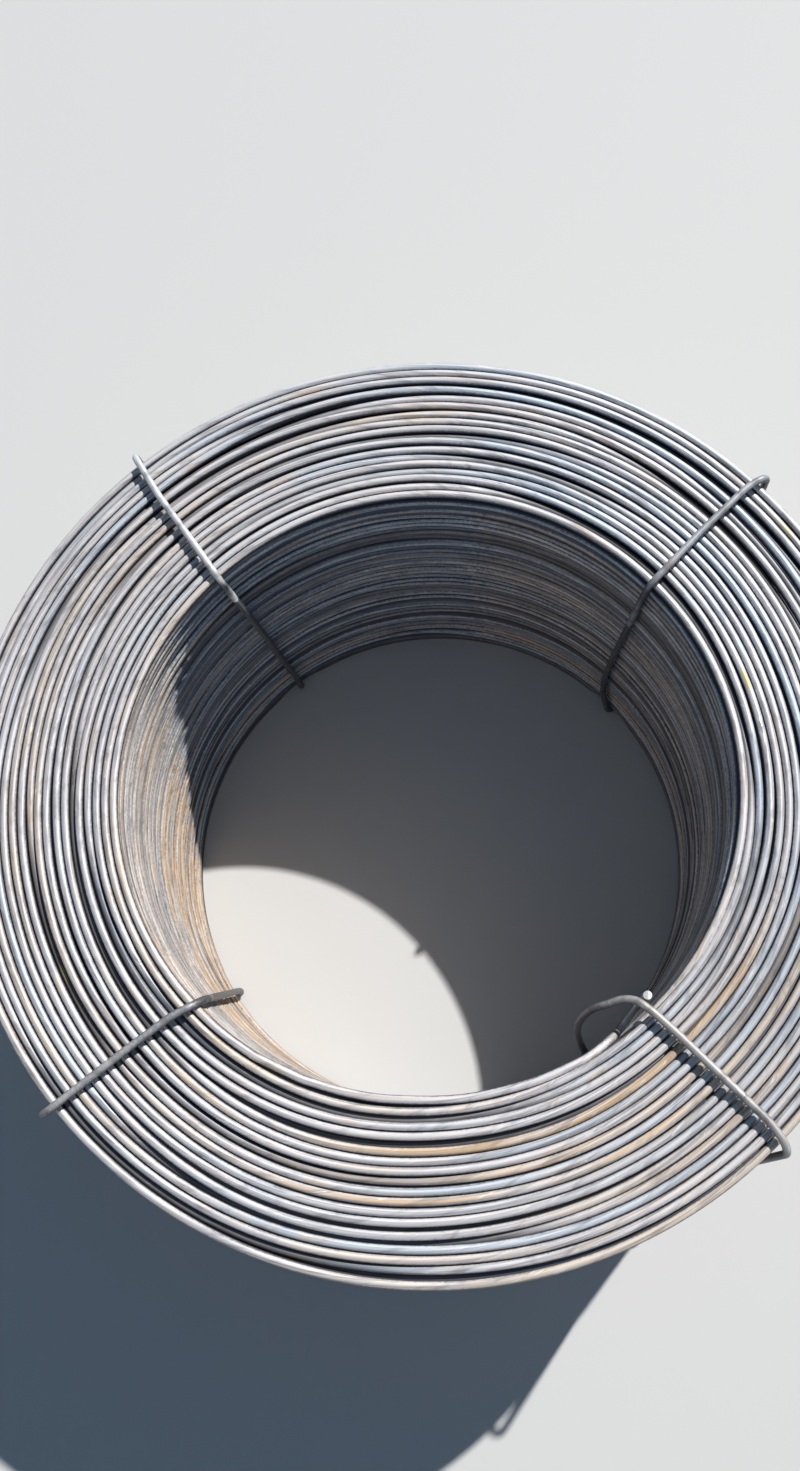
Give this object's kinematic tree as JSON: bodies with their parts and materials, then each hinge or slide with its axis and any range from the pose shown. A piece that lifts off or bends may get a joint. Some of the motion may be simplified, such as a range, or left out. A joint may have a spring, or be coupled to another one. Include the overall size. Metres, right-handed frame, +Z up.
{
  "type": "coil of baling wire",
  "caption": "Ring-shaped coil of black annealed baling wire, wound in rows and layers round an open bore and held by tie wires round its section.",
  "frame": {"origin": "centre of the lower end on the bore's axis, at the level of the floor that the coil lies on", "axes": "+Z up along the bore; +Y away from the viewer of the picture and +X to that viewer's right"},
  "size_m": [0.3054, 0.3054, 0.1412],
  "materials": {
    "coil_wire": "drawn and black annealed iron wire, dull satin, with light rust",
    "tie_wire": "drawn and black annealed iron wire, dull satin, darker than the coil"
  },
  "bodies": {
    "root": {"wire_coil": "coil_wire", "tie_back_right": "tie_wire", "tie_back_left": "tie_wire", "tie_front_left": "tie_wire", "tie_front_right": "tie_wire"}
  },
  "joints": []
}
